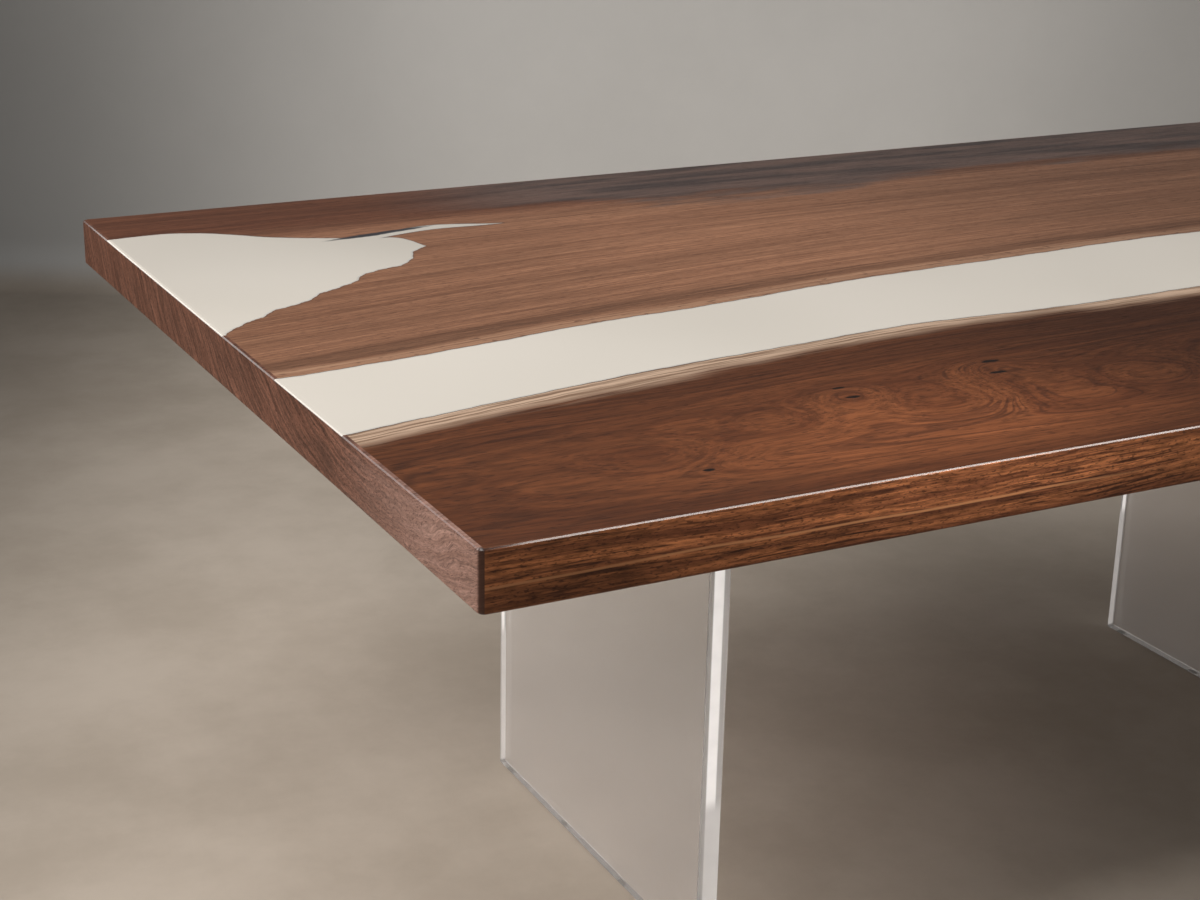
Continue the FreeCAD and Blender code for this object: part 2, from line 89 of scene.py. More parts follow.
POOL_FRONT_SHARES = (
    (0.182, 0.7555), (0.168, 0.7355), (0.161, 0.713), (0.147, 0.694), (0.118, 0.672), (0.109, 0.6565),
    (0.0905, 0.6345), (0.0765, 0.621), (0.064, 0.603), (0.0435, 0.5865), (0.031, 0.5705),
    (0.022, 0.5605), (0.0115, 0.545), (-0.02, 0.4995),
)


def set_down(name, data):
    """Object that carries a mesh, a light or a camera, in the scene."""
    made = bpy.data.objects.new(name, data)
    bpy.context.scene.collection.objects.link(made)
    return made


# Outlines of the natural edges.

def lengths_along(points):
    """Running length of a line of points, from zero at its start."""
    return np.concatenate(([0.0], np.cumsum(np.hypot(*np.diff(points, axis=0).T))))


def smooth_curve(shares, count):
    """Cubic spline through the share points: chord lengths as parameter, equal slopes and bends at
    each inner point, and end slopes of the cubic through the four points nearest to each end."""
    points = np.array(shares) * (2 * HALF_LENGTH, 2 * HALF_WIDTH) - (HALF_LENGTH, HALF_WIDTH)
    knots = lengths_along(points)
    steps = np.diff(knots)
    size = len(points)
    system = np.eye(size)
    right = np.zeros((size, 2))
    slopes = np.diff(points, axis=0) / steps[:, None]
    inner = np.arange(1, size - 1)
    system[inner, inner - 1] = steps[1:]
    system[inner, inner] = 2 * (steps[:-1] + steps[1:])
    system[inner, inner + 1] = steps[:-1]
    right[1:-1] = 3 * (steps[1:, None] * slopes[:-1] + steps[:-1, None] * slopes[1:])
    for row, span in ((0, slice(0, 4)), (size - 1, slice(size - 4, size))):
        right[row] = np.polyfit(knots[span] - knots[row], points[span], 3)[-2]
    tangents = np.linalg.solve(system, right)
    where = np.linspace(0, knots[-1], count)
    cell = np.clip(np.searchsorted(knots, where, side="right") - 1, 0, size - 2)
    width = steps[cell][:, None]
    part = ((where - knots[cell]) / steps[cell])[:, None]
    start = (2 * part**3 - 3 * part**2 + 1) * points[cell]
    leave = (part**3 - 2 * part**2 + part) * width * tangents[cell]
    stop = (3 * part**2 - 2 * part**3) * points[cell + 1]
    arrive = (part**3 - part**2) * width * tangents[cell + 1]
    return start + leave + stop + arrive


def normals_of(points):
    """Unit normals to the left of a line of points."""
    tangent = np.gradient(points, axis=0)
    normal = np.stack((-tangent[:, 1], tangent[:, 0]), axis=1)
    return normal / np.linalg.norm(normal, axis=1, keepdims=True)


# Lengths and strengths of the waves in a natural edge, and the length over which they fade at its ends.
WAVE_LENGTHS = np.array((0.11, 0.047, 0.021, 0.009))
WAVE_STRENGTHS = np.array((0.5, 0.35, 0.25, 0.12))
WAVE_FADE = 0.012


def ragged(points, depth, seed):
    """Small natural wobble: sines of falling strength push each point along its normal, and fade at
    both ends."""
    along = lengths_along(points)
    chance = np.random.default_rng(seed)
    waves = WAVE_LENGTHS * chance.uniform(0.85, 1.15, 4)
    starts = chance.uniform(0, 2 * np.pi, 4)
    push = np.sin(2 * np.pi * along[:, None] / waves + starts) @ WAVE_STRENGTHS
    fade = np.clip(np.minimum(along, along[-1] - along) / WAVE_FADE, 0, 1)
    return points + normals_of(points) * (push * fade * depth)[:, None]


def river_bank(shares, depth, seed):
    """Natural edge along the whole top, at even stations from one end band to the other."""
    curve = ragged(smooth_curve(shares, 1200), depth, seed)
    stations = np.linspace(-HALF_CORE, HALF_CORE, 640)
    return np.stack((stations, np.interp(stations, curve[:, 0], curve[:, 1])), axis=1)


river_front = river_bank(RIVER_FRONT_SHARES, 0.0009, 3)
river_rear = river_bank(RIVER_REAR_SHARES, 0.0011, 5)
pool_curve = np.vstack((
    ragged(smooth_curve(POOL_REAR_SHARES, 300), 0.0008, 7),
    smooth_curve(CRACK_FRONT_SHARES, 90)[1:],
    ragged(smooth_curve(POOL_NOSE_SHARES, 50), 0.0006, 9)[1:],
    ragged(smooth_curve(POOL_FRONT_SHARES, 420), 0.0026, 11)[1:],
))


# Points at each end of the pool's curve among which it is cut, and points that take their place.
CUT_AMONG, CUT_INTO = 90, 50


def pool_shore(share):
    """Edge of the pool at a share of the depth: the leaning curve, cut at the left end band at both
    ends."""
    curve = pool_curve + POOL_LEAN * share
    along = lengths_along(curve)
    first = np.interp(-HALF_CORE, curve[:CUT_AMONG, 0], along[:CUT_AMONG])
    last = np.interp(HALF_CORE, -curve[-CUT_AMONG:, 0], along[-CUT_AMONG:])
    where = np.concatenate((
        np.linspace(first, along[CUT_AMONG], CUT_INTO, endpoint=False),
        along[CUT_AMONG:-CUT_AMONG],
        np.linspace(along[-CUT_AMONG], last, CUT_INTO)[1:],
    ))
    shore = np.stack((np.interp(where, along, curve[:, 0]), np.interp(where, along, curve[:, 1])), axis=1)
    shore[[0, -1], 0] = -HALF_CORE
    return shore


# Outlines of the pieces of the top, each at an inset of its rounded edges and a share of its depth.

def outer_line(inset):
    """Rear line of the top from right to left: straight, with the start of each corner's arc."""
    straight_end = HALF_LENGTH - 2 * CORNER_RADIUS
    ease = (HALF_CORE - straight_end) * np.linspace(0, 1, 12)
    along = np.concatenate((HALF_CORE - ease, np.linspace(straight_end, -straight_end, 132)[1:-1],
                            ease[::-1] - HALF_CORE))
    into = np.clip(np.abs(along) - (HALF_LENGTH - CORNER_RADIUS), 0, None)
    reach = HALF_WIDTH - CORNER_RADIUS + np.sqrt((CORNER_RADIUS - inset)**2 - into**2)
    return np.stack((along, reach), axis=1)


def between(first, second, count=24):
    """Points between two corners of an outline, without the corners."""
    return np.linspace(first, second, count + 2)[1:-1]


def front_outline(inset, share):
    """Front line from left to right, right end, river edge from right to left, left end."""
    outer = outer_line(inset)[::-1] * (1, -1)
    bank = (river_front + FRONT_LEAN * share)[::-1]
    return np.vstack((outer, between(outer[-1], bank[0]), bank, between(bank[-1], outer[0])))


def rear_outline(inset, share):
    """River edge from left to right, right end, rear line, left end with the pool's edge in it."""
    bank = river_rear + REAR_LEAN * share
    outer = outer_line(inset)
    shore = pool_shore(share)
    return np.vstack((bank, between(bank[-1], outer[0]), outer, between(outer[-1], shore[0]), shore,
                      between(shore[-1], bank[0])))


def river_outline(inset, share):
    """Front edge from left to right, right end, rear edge from right to left, left end."""
    near = river_front + FRONT_LEAN * share
    far = (river_rear + REAR_LEAN * share)[::-1]
    return np.vstack((near, between(near[-1], far[0]), far, between(far[-1], near[0])))


def pool_outline(inset, share):
    """Edge of the pool turned about, closed along the left end."""
    shore = pool_shore(share)[::-1]
    return np.vstack((shore, between(shore[-1], shore[0])))


def right_band_outline(inset, share):
    """Front corner's arc, end line, rear corner's arc and the joint with the slabs."""
    radius = CORNER_RADIUS - inset
    start = math.asin((HALF_CORE - HALF_LENGTH + CORNER_RADIUS) / radius)
    turn = np.linspace(start, np.pi / 2, 12)
    centre = np.array((HALF_LENGTH - CORNER_RADIUS, HALF_WIDTH - CORNER_RADIUS))
    rear = centre + radius * np.stack((np.sin(turn), np.cos(turn)), axis=1)
    front = rear * (1, -1)
    return np.vstack((front, between(front[-1], rear[-1], 60), rear[::-1], between(rear[0], front[0], 60)))


def left_band_outline(inset, share):
    """Right band's outline seen in a mirror, turned about to keep its sense."""
    return right_band_outline(inset, share)[::-1] * (-1, 1)


# Solids of the top.

def inside_outline(points, loop):
    """Even and odd rule: a ray to the right from a point inside crosses the outline an odd number
    of times."""
    start, stop = loop, np.roll(loop, -1, axis=0)
    spans = (start[:, 1] > points[:, 1:]) != (stop[:, 1] > points[:, 1:])
    rise = np.where(stop[:, 1] == start[:, 1], 1e-12, stop[:, 1] - start[:, 1])
    cross = start[:, 0] + (points[:, 1:] - start[:, 1]) * (stop[:, 0] - start[:, 0]) / rise
    return np.sum(spans & (points[:, :1] < cross), axis=1) % 2 == 1


def gap_to(points, curve):
    """Distance from each point to the nearest of a curve's short straight runs."""
    start, run = curve[:-1], np.diff(curve, axis=0)
    length = np.maximum(np.sum(run**2, axis=1), 1e-15)
    gaps = np.empty(len(points))
    for block in np.array_split(np.arange(len(points)), len(points) // 300 + 1):
        away = points[block, None, :] - start
        share = np.clip(np.sum(away * run, axis=2) / length, 0, 1)
        gaps[block] = np.sqrt(np.min(np.sum((away - share[..., None] * run)**2, axis=2), axis=1))
    return gaps


EDGE_ROWS = ((0.0007, 1), (0.0016, 1), (0.003, 1), (0.006, 2), (0.011, 3), (0.018, 4))


def rows_beside(curve, side):
    """Rows of points beside a natural edge: its points moved along their normals by growing distances."""
    aim = side * normals_of(curve)
    return np.concatenate([(curve + aim * gap)[::stride] for gap, stride in EDGE_ROWS])


def even_grid(loop, pitch, margin):
    """Even grid of points inside an outline, at least a margin away from it."""
    low, high = loop.min(axis=0), loop.max(axis=0)
    across = np.arange(low[0] + pitch / 2, high[0], pitch)
    upward = np.arange(low[1] + pitch / 2, high[1], pitch)
    points = np.stack(np.meshgrid(across, upward), axis=-1).reshape(-1, 2)
    points = points[inside_outline(points, loop)]
    return points[gap_to(points, np.vstack((loop, loop[:1]))) > margin]


def fill_outline(loop, inner):
    """Triangles over an outline and the points inside it, as indices into loop followed by inner."""
    made = delaunay_2d_cdt(np.vstack((loop, inner)).tolist(), [], [list(range(len(loop)))], 1, 1e-9)
    source = np.fromiter((ids[0] for ids in made[3]), dtype=int, count=len(made[3]))
    return source[np.array(made[2], dtype=int)]


def edge_profile():
    """Inset and depth over an edge of the top: an arc into a flat bevel at 45 degrees and an arc out
    of it."""
    ease = BEVEL_ROUND * math.tan(math.pi / 8)
    turn = np.linspace(0, np.pi / 4, 4)
    arc = np.stack((BEVEL + ease - BEVEL_ROUND * np.sin(turn), BEVEL_ROUND * (1 - np.cos(turn))), axis=1)
    return np.vstack((arc, arc[::-1, ::-1]))


BEVEL_SHINE = np.array((0.0, 0.4, 0.8, 1.0, 1.0, 0.8, 0.4, 0.0))


def lower_profile():
    """Inset and depth round the lower edge: a quarter circle from the side to the lower face."""
    turn = np.linspace(0, np.pi / 2, 7)
    inset = ARRIS_RADIUS * (1 - np.cos(turn))
    return np.stack((inset, DEPTH - ARRIS_RADIUS * (1 - np.sin(turn))), axis=1)


# Pitch and margin of the points inside the upper and the lower face, the least distance of any of them
# from the outline, and the angle from which an edge is drawn sharp.
UPPER_PITCH, UPPER_MARGIN = 0.016, 0.012
LOWER_PITCH, LOWER_MARGIN = 0.05, 0.015
LEAST_GAP = 0.0004
SHARP_FROM = math.radians(32)


def top_piece(name, outline, edges=(), rows=()):
    """Closed solid of the top. A profile is carried round the outline: from the upper face over a
    bevel, down the side and round the lower edge to the lower face. Both faces are filled with
    triangles. The attribute arris is one on the bevel; each other named attribute is the distance to
    a natural edge at the point's depth."""
    upper = edge_profile()
    side = np.stack((np.zeros(3), np.linspace(0, DEPTH, 5)[1:-1]), axis=1)
    profile = np.vstack((upper, side, lower_profile()))
    plan = np.stack([outline(inset, sunk / DEPTH) for inset, sunk in profile])
    levels = TOP - np.minimum(profile[:, 1], DEPTH - HARDWARE_PROUD)
    count, depths = plan.shape[1], len(profile)
    walls = np.concatenate((plan, np.broadcast_to(levels[:, None, None], (depths, count, 1))), axis=2)
    upper_loop, lower_loop = plan[0], plan[-1]
    inner = np.vstack((even_grid(upper_loop, UPPER_PITCH, UPPER_MARGIN), *rows))
    inner = inner[inside_outline(inner, upper_loop)]
    inner = inner[gap_to(inner, np.vstack((upper_loop, upper_loop[:1]))) > LEAST_GAP]
    below = even_grid(lower_loop, LOWER_PITCH, LOWER_MARGIN)
    vertices = np.vstack((walls.reshape(-1, 3), np.column_stack((inner, np.full(len(inner), levels[0]))),
                          np.column_stack((below, np.full(len(below), levels[-1])))))
    lid = fill_outline(upper_loop, inner)
    lid += np.where(lid < count, 0, (depths - 1) * count)
    base = fill_outline(lower_loop, below)[:, ::-1]
    base = base + np.where(base < count, (depths - 1) * count, (depths - 1) * count + len(inner))
    ring = np.arange(count)
    start = (np.arange(depths - 1) * count)[:, None]
    ahead = np.roll(ring, -1)
    sides = np.stack((start + ring, start + count + ring, start + count + ahead, start + ahead), axis=2)
    mesh = bpy.data.meshes.new(name)
    mesh.from_pydata(vertices.tolist(), [], lid.tolist() + sides.reshape(-1, 4).tolist() + base.tolist())
    shine = np.zeros(len(vertices), dtype=np.float32)
    shine[:len(upper) * count] = np.repeat(BEVEL_SHINE, count)
    mesh.attributes.new("arris", "FLOAT", "POINT").data.foreach_set("value", shine)
    for label, curve, lean in edges:
        gap = gap_to(vertices[:, :2] - lean * (TOP - vertices[:, 2:]) / DEPTH, curve)
        mesh.attributes.new(label, "FLOAT", "POINT").data.foreach_set("value", gap.astype(np.float32))
    mesh.polygons.foreach_set("use_smooth", np.ones(len(mesh.polygons), dtype=bool))
    mesh.set_sharp_from_angle(angle=SHARP_FROM)
    mesh.validate()
    piece = set_down(name, mesh)
    piece.modifiers.new("even_normals", "WEIGHTED_NORMAL").keep_sharp = True
    return piece


shore_top = pool_shore(0.0)
front_wood = top_piece("front_slab_wood", front_outline, [("river_gap", river_front, FRONT_LEAN)],
                       [rows_beside(river_front, -1)])
rear_wood = top_piece("rear_slab_wood", rear_outline,
                      [("river_gap", river_rear, REAR_LEAN), ("pool_gap", shore_top, POOL_LEAN)],
                      [rows_beside(river_rear, 1), rows_beside(shore_top, 1)])
river_casting = top_piece("river_casting", river_outline,
                          [("front_gap", river_front, FRONT_LEAN), ("rear_gap", river_rear, REAR_LEAN)],
                          [rows_beside(river_front, 1), rows_beside(river_rear, -1)])
pool_casting = top_piece("pool_casting", pool_outline,
                         [("front_gap", shore_top, POOL_LEAN), ("rear_gap", shore_top, POOL_LEAN)],
                         [rows_beside(shore_top, -1)])
left_band = top_piece("left_end_lipping", left_band_outline)
right_band = top_piece("right_end_lipping", right_band_outline)


def leg_sheet(name, node):
    """Flat sheet: a profile of thickness and inset, chamfered at both faces, carried round the sheet's
    rectangle. The middle strip of the profile is the polished edge and takes the second material."""
    low, high = (np.array(corner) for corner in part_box(node))
    thickness = np.array((low[0], low[0] + LEG_CHAMFER, high[0] - LEG_CHAMFER, high[0]))
    inset = LEG_CHAMFER * np.array((1, 0, 0, 1))
    corners = np.array(((low[1], low[2]), (high[1], low[2]), (high[1], high[2]), (low[1], high[2])))
    loops = corners + inset[:, None, None] * np.array(((1, 1), (-1, 1), (-1, -1), (1, -1)))
    across = np.broadcast_to(thickness[:, None, None], (4, 4, 1))
    vertices = np.concatenate((across, loops), axis=2).reshape(-1, 3)
    start = (np.arange(3) * 4)[:, None]
    ring, ahead = np.arange(4), np.roll(np.arange(4), -1)
    strips = np.stack((start + ring, start + ahead, start + 4 + ahead, start + 4 + ring), axis=2)
    faces = [ring[::-1].tolist()] + strips.reshape(-1, 4).tolist() + [(12 + ring).tolist()]
    mesh = bpy.data.meshes.new(name)
    mesh.from_pydata(vertices.tolist(), [], faces)
    slots = np.repeat((0, 0, 1, 0, 0), (1, 4, 4, 4, 1)).astype(np.int32)
    mesh.polygons.foreach_set("material_index", slots)
    return set_down(name, mesh)


left_sheet = leg_sheet("left_leg_sheet", "left_leg_panel")
right_sheet = leg_sheet("right_leg_sheet", "right_leg_panel")


# Node helpers.

def add(tree, kind, values, **settings):
    """Node of a kind, with its settings, and its inputs given as numbers, colours or other nodes'
    sockets."""
    made = tree.nodes.new(kind)
    for name, setting in settings.items():
        setattr(made, name, setting)
    for key, value in values.items():
        if isinstance(value, bpy.types.NodeSocket):
            tree.links.new(value, made.inputs[key])
        else:
            made.inputs[key].default_value = value
    return made


def maths(tree, operation, first, second=0.0, third=0.0):
    return add(tree, "ShaderNodeMath", {0: first, 1: second, 2: third}, operation=operation).outputs[0]


def times(tree, first, second):
    return maths(tree, "MULTIPLY", first, second)


def scaled(tree, value, factor, base):
    """Value times a factor, plus a base."""
    return maths(tree, "MULTIPLY_ADD", value, factor, base)


def split(tree, place):
    """Three coordinates of a place."""
    return add(tree, "ShaderNodeSeparateXYZ", {0: place}).outputs


def feed(node, name, value):
    """Link from a socket to a node's named input."""
    node.id_data.links.new(value, node.inputs[name])


def eased(tree, value, low, high, start=0.0, stop=1.0):
    """Smooth step from start to stop as the value goes from low to high."""
    sockets = {"Value": value, "From Min": low, "From Max": high, "To Min": start, "To Max": stop}
    return add(tree, "ShaderNodeMapRange", sockets, interpolation_type="SMOOTHSTEP").outputs[0]


def cloud(tree, place, scale=1.0, detail=2.0, rough=0.5):
    sockets = {"Vector": place, "Scale": scale, "Detail": detail, "Roughness": rough}
    return add(tree, "ShaderNodeTexNoise", sockets).outputs["Fac"]


def streaks(tree, along, rings, across, scale, detail=2.0, rough=0.5):
    """Noise whose cells are drawn out by three scales."""
    parts = [times(tree, part, size) for part, size in zip((along, rings, across), scale)]
    place = add(tree, "ShaderNodeCombineXYZ", dict(enumerate(parts))).outputs[0]
    return cloud(tree, place, 1.0, detail, rough)


def blend(tree, factor, first, second, mode="MIX"):
    mix = add(tree, "ShaderNodeMix", {0: factor, 6: first, 7: second}, data_type="RGBA", blend_type=mode)
    return mix.outputs[2]


def grey(tree, value):
    return add(tree, "ShaderNodeCombineColor", {0: value, 1: value, 2: value}).outputs[0]


def tint(tree, colour, value):
    """Colour made darker or lighter by a value."""
    return blend(tree, 1.0, colour, grey(tree, value), "MULTIPLY")


def new_group(name, inlets, outlets):
    """Empty shader group with named float and colour sockets."""
    tree = bpy.data.node_groups.new(name, "ShaderNodeTree")
    for label, kind in inlets:
        tree.interface.new_socket(label, in_out="INPUT", socket_type=kind)
    for label, kind in outlets:
        tree.interface.new_socket(label, in_out="OUTPUT", socket_type=kind)
    return tree, tree.nodes.new("NodeGroupInput").outputs, tree.nodes.new("NodeGroupOutput").inputs


def use_group(tree, group, values):
    return add(tree, "ShaderNodeGroup", values, node_tree=group).outputs


def new_finish(name, **plain):
    """Material with one Principled shader; plain values are set on its own sockets."""
    finish = bpy.data.materials.new(name)
    finish.use_nodes = True
    shader = finish.node_tree.nodes["Principled BSDF"]
    for label, value in plain.items():
        shader.inputs[label.replace("_", " ")].default_value = value
    place = add(finish.node_tree, "ShaderNodeTexCoord", {}).outputs["Object"]
    return finish, finish.node_tree, shader, place


def mottled(tree, shader, noise, dark, light, low, high):
    """Colour and roughness that go between two values with a noise."""
    feed(shader, "Base Color", blend(tree, eased(tree, noise, 0.3, 0.7), dark, light))
    feed(shader, "Roughness", eased(tree, noise, 0.3, 0.7, low, high))


def link_bump(tree, shader, height, strength, distance):
    bump = add(tree, "ShaderNodeBump", {"Height": height, "Strength": strength, "Distance": distance})
    feed(shader, "Normal", bump.outputs[0])


FLOAT, COLOUR, VECTOR = "NodeSocketFloat", "NodeSocketColor", "NodeSocketVector"
LOG_OUTLETS = [("Along", FLOAT), ("Rings", FLOAT), ("Across", FLOAT)]

# Swirls of the front slab: place along and across, reach along and across, and height of the ring field.
SWIRLS = (
    (-0.765, -0.505, 0.080, 0.048, 0.020), (-0.607, -0.467, 0.060, 0.046, 0.018),
    (-0.493, -0.425, 0.035, 0.028, -0.010), (-0.412, -0.475, 0.085, 0.060, 0.028),
    (-0.295, -0.408, 0.040, 0.030, -0.010), (-0.142, -0.490, 0.095, 0.060, 0.022),
    (0.130, -0.440, 0.090, 0.060, 0.022), (0.420, -0.400, 0.080, 0.055, 0.018),
    (0.720, -0.450, 0.090, 0.060, 0.020),
)


def bell(tree, parts, along, across, reach, breadth):
    """Bell shaped mask around a place, by its reach along and across."""
    first = maths(tree, "DIVIDE", maths(tree, "SUBTRACT", parts[0], along), reach)
    second = maths(tree, "DIVIDE", maths(tree, "SUBTRACT", parts[1], across), breadth)
    spread = scaled(tree, first, first, times(tree, second, second))
    return maths(tree, "EXPONENT", times(tree, spread, -1.0))


def front_log_group():
    """Growth rings of the front slab: distance from a pith above the slab, wandering along the length,
    with bell shaped swirls."""
    tree, inlet, outlet = new_group("front_log", [("Place", VECTOR)], LOG_OUTLETS)
    parts = split(tree, inlet["Place"])
    wander = streaks(tree, *parts, (1.1, 2.2, 2.2), 1.0)
    slow = streaks(tree, *parts, (3.4, 11.0, 11.0), 2.0)
    side = scaled(tree, wander, 0.10, parts[1])
    side = maths(tree, "ADD", side, 0.43)
    side = scaled(tree, parts[0], -0.035, side)
    level = maths(tree, "SUBTRACT", parts[2], TOP + 0.15)
    squares = scaled(tree, side, side, times(tree, level, level))
    rings = maths(tree, "SQRT", squares)
    middle = maths(tree, "EXPONENT", times(tree, times(tree, side, side), -60.0))
    rings = scaled(tree, times(tree, middle, parts[0]), -0.055, rings)
    rings = scaled(tree, slow, 0.015, rings)
    for along, across, reach, breadth, height in SWIRLS:
        rings = scaled(tree, bell(tree, parts, along, across, reach, breadth), height, rings)
    tree.links.new(parts[0], outlet["Along"])
    tree.links.new(rings, outlet["Rings"])
    tree.links.new(scaled(tree, parts[2], 0.7, parts[1]), outlet["Across"])
    return tree


def rear_log_group():
    """Growth rings of the rear slab: straight rings that run with the river's edge, less so further from
    it, and lean in the slab's depth."""
    tree, inlet, outlet = new_group("rear_log", [("Place", VECTOR)], LOG_OUTLETS)
    parts = split(tree, inlet["Place"])
    drift = scaled(tree, parts[0], -0.055, 0.072)
    bend = times(tree, times(tree, drift, parts[0]), eased(tree, parts[1], 0.0, 0.6, -1.0, -0.2))
    follow = maths(tree, "ADD", parts[1], bend)
    slow = streaks(tree, *parts, (1.5, 6.0, 6.0), 2.0)
    rings = scaled(tree, slow, 0.022, follow)
    rings = scaled(tree, maths(tree, "SUBTRACT", parts[2], TOP), -0.45, rings)
    tree.links.new(parts[0], outlet["Along"])
    tree.links.new(rings, outlet["Rings"])
    tree.links.new(scaled(tree, parts[2], 0.7, parts[1]), outlet["Across"])
    return tree


def walnut_group():
    """Walnut drawn in ring space: tone bands, thin late wood lines where a noise crosses its middle, fibre
    streaks and short dark pores. Closeness packs the bands and lines, Run shortens them all."""
    inlets = LOG_OUTLETS + [
        ("Closeness", FLOAT), ("Run", FLOAT), ("Dark", COLOUR), ("Light", COLOUR), ("Vein", COLOUR),
        ("Lines", FLOAT), ("Fibre", FLOAT)]
    outlets = [("Color", COLOUR), ("Roughness", FLOAT), ("Height", FLOAT)]
    tree, inlet, outlet = new_group("walnut", inlets, outlets)
    along = times(tree, inlet["Along"], inlet["Run"])
    close = times(tree, inlet["Rings"], inlet["Closeness"])
    line = along, close, inlet["Across"]
    grain = along, inlet["Rings"], inlet["Across"]
    bands = streaks(tree, *line, (0.6, 36.0, 4.0), 3.0, 0.6)
    fine = streaks(tree, *line, (1.6, 140.0, 9.0), 4.0, 0.65)
    pencil = streaks(tree, *line, (0.8, 70.0, 6.0), 2.0, 0.5)
    streak = streaks(tree, *grain, (11.0, 440.0, 120.0), 3.0, 0.7)
    pore = streaks(tree, *grain, (48.0, 620.0, 420.0), 1.0, 0.5)
    patch = streaks(tree, *line, (1.8, 7.0, 7.0), 2.0, 0.5)
    tone = scaled(tree, bands, 0.45, times(tree, fine, 0.55))
    colour = blend(tree, eased(tree, tone, 0.37, 0.63), inlet["Dark"], inlet["Light"])
    crossing = maths(tree, "ABSOLUTE", maths(tree, "SUBTRACT", pencil, 0.5))
    lines = times(tree, eased(tree, crossing, 0.036, 0.004), eased(tree, patch, 0.35, 0.6))
    colour = blend(tree, times(tree, lines, inlet["Lines"]), colour, inlet["Vein"])
    swing = times(tree, eased(tree, streak, 0.30, 0.70, -1.0, 1.0), inlet["Fibre"])
    colour = tint(tree, colour, maths(tree, "ADD", swing, 1.0))
    colour = tint(tree, colour, eased(tree, patch, 0.3, 0.7, 0.90, 1.10))
    pores = eased(tree, pore, 0.59, 0.68)
    colour = blend(tree, times(tree, pores, 0.6), colour, inlet["Vein"])
    tree.links.new(colour, outlet["Color"])
    rough = scaled(tree, pores, 0.12, eased(tree, streak, 0.3, 0.7, 0.42, 0.34))
    tree.links.new(rough, outlet["Roughness"])
    tree.links.new(scaled(tree, pores, -0.8, streak), outlet["Height"])
    return tree


front_log = front_log_group()
rear_log = rear_log_group()
walnut = walnut_group()


def draw_walnut(tree, log, closeness, run, tones, lines, fibre):
    """Walnut of one log in dark, light and vein tones."""
    dark, light, vein = tones
    return use_group(tree, walnut, {
        "Along": log["Along"], "Rings": log["Rings"], "Across": log["Across"], "Closeness": closeness,
        "Run": run, "Dark": dark, "Light": light, "Vein": vein, "Lines": lines, "Fibre": fibre})


def value_of(tree, name):
    """Value carried by the piece's points under a name."""
    return add(tree, "ShaderNodeAttribute", {}, attribute_name=name).outputs["Fac"]


def spots(tree, place, marks):
    """Mask of small oval marks, each given by place along and across, its reach both ways and its slant;
    a fine noise makes their outlines uneven."""
    fine = {"Vector": place, "Scale": 90.0, "Detail": 1.0}
    wobble = add(tree, "ShaderNodeTexNoise", fine).outputs["Color"]
    push = {0: wobble, 1: (0.008, 0.004, 0.0), 2: place}
    moved = add(tree, "ShaderNodeVectorMath", push, operation="MULTIPLY_ADD").outputs[0]
    back = {0: moved, 1: (0.004, 0.002, 0.0)}
    parts = split(tree, add(tree, "ShaderNodeVectorMath", back, operation="SUBTRACT").outputs[0])
    total = None
    for along, across, reach, breadth, slant in marks:
        away = maths(tree, "SUBTRACT", parts[0], along)
        first = maths(tree, "DIVIDE", away, reach)
        beside = scaled(tree, away, -slant, maths(tree, "SUBTRACT", parts[1], across))
        second = maths(tree, "DIVIDE", beside, breadth)
        spread = scaled(tree, first, first, times(tree, second, second))
        mark = eased(tree, spread, 1.2, 0.4)
        total = mark if total is None else maths(tree, "MAXIMUM", total, mark)
    return total


FRONT_KNOTS = (
    (-0.492, -0.400, 0.008, 0.0030, 0), (-0.495, -0.431, 0.010, 0.0034, 0),
    (-0.287, -0.386, 0.012, 0.0040, 0), (-0.304, -0.422, 0.012, 0.0036, 0),
    (-0.739, -0.560, 0.006, 0.0032, 0), (0.270, -0.380, 0.012, 0.0035, 0),
    (0.600, -0.500, 0.010, 0.0032, 0),
)
CRACK_BARK = ((-0.672, 0.4215, 0.085, 0.0065, 0.18), (-0.700, 0.4130, 0.040, 0.0045, 0.10))


def dress_wood(tree, shader, colour, wood):
    """Links that every wood finish has; the bevels have a thick coat and no relief."""
    feed(shader, "Base Color", colour)
    feed(shader, "Roughness", wood["Roughness"])
    arris = value_of(tree, "arris")
    feed(shader, "Coat Weight", scaled(tree, arris, 0.9, 0.06))
    height = times(tree, wood["Height"], maths(tree, "SUBTRACT", 1.0, arris))
    link_bump(tree, shader, height, 0.08, 0.0004)


